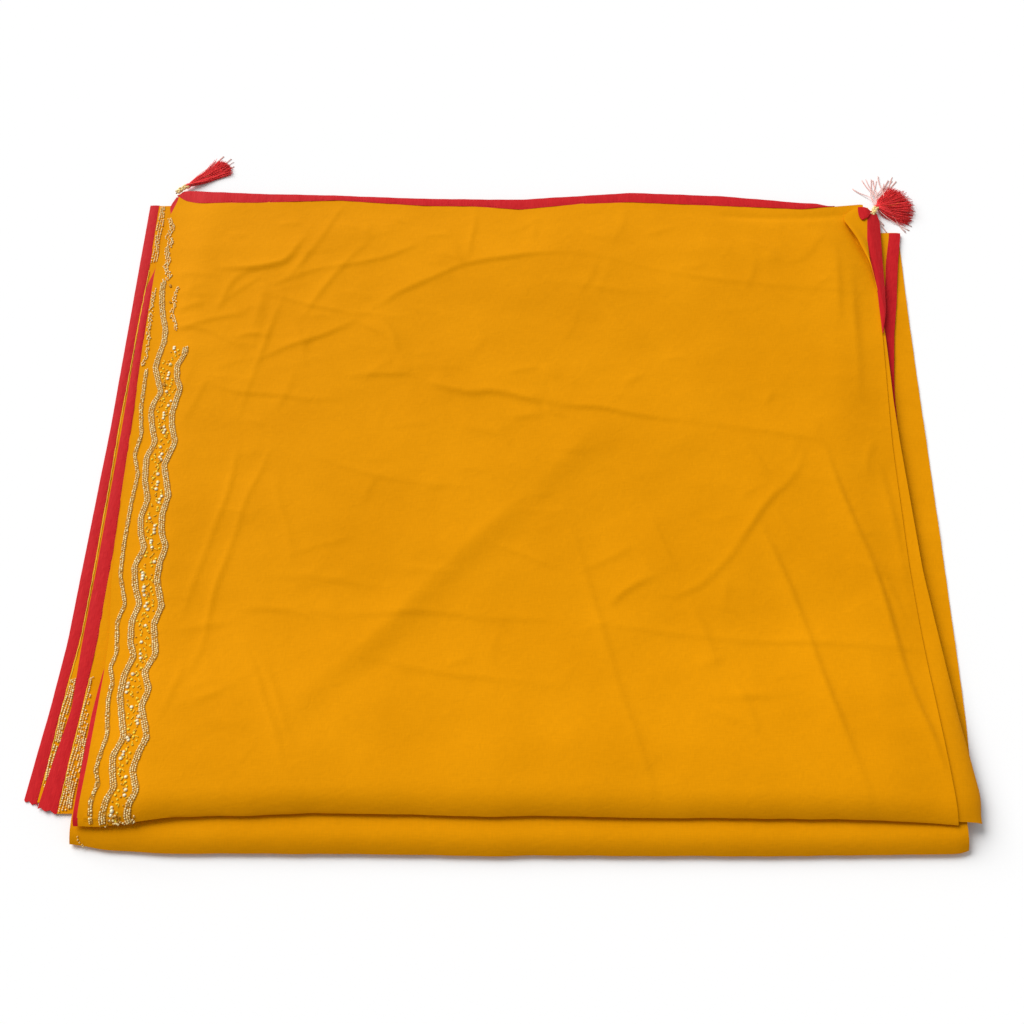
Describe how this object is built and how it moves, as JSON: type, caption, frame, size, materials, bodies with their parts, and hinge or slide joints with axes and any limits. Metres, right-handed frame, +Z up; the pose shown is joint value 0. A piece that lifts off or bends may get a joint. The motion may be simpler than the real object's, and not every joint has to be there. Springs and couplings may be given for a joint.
{
  "type": "folded chiffon saree",
  "caption": "Chiffon saree folded into a flat square pack, with satin-bound edges, a beaded border and a tassel at each far corner.",
  "frame": {"origin": "middle of the box of the folded pack, on the surface that it lies on", "axes": "+Z up from the surface, +Y from the front folds to the bound pallu end, +X to the right along the folds"},
  "size_m": [1.2532, 1.1836, 0.0343],
  "materials": {
    "chiffon": "mustard yellow plain-weave chiffon, matte with a faint sheen",
    "satin_binding": "red satin tape, folded over the edge and stitched",
    "tassel_thread": "red viscose thread",
    "gold_bead": "small pale gold glass beads, glossy"
  },
  "bodies": {
    "root": {"hidden_layers": "chiffon", "pallu_stretch": "chiffon", "front_lower_fold": "chiffon", "left_margin_outer": "chiffon", "left_margin_inner": "chiffon", "right_margin_upper": "chiffon", "right_margin_middle": "chiffon", "right_margin_lower": "chiffon", "corner_flap": "chiffon", "pallu_end_binding": "satin_binding", "left_binding_outer": "satin_binding", "left_binding_inner": "satin_binding", "left_binding_top": "satin_binding", "right_binding_corner": "satin_binding", "right_binding_lower": "satin_binding", "tassel_left": "tassel_thread", "tassel_right": "tassel_thread", "tassel_left_collar": "gold_bead", "tassel_right_collar": "gold_bead"}
  },
  "joints": []
}
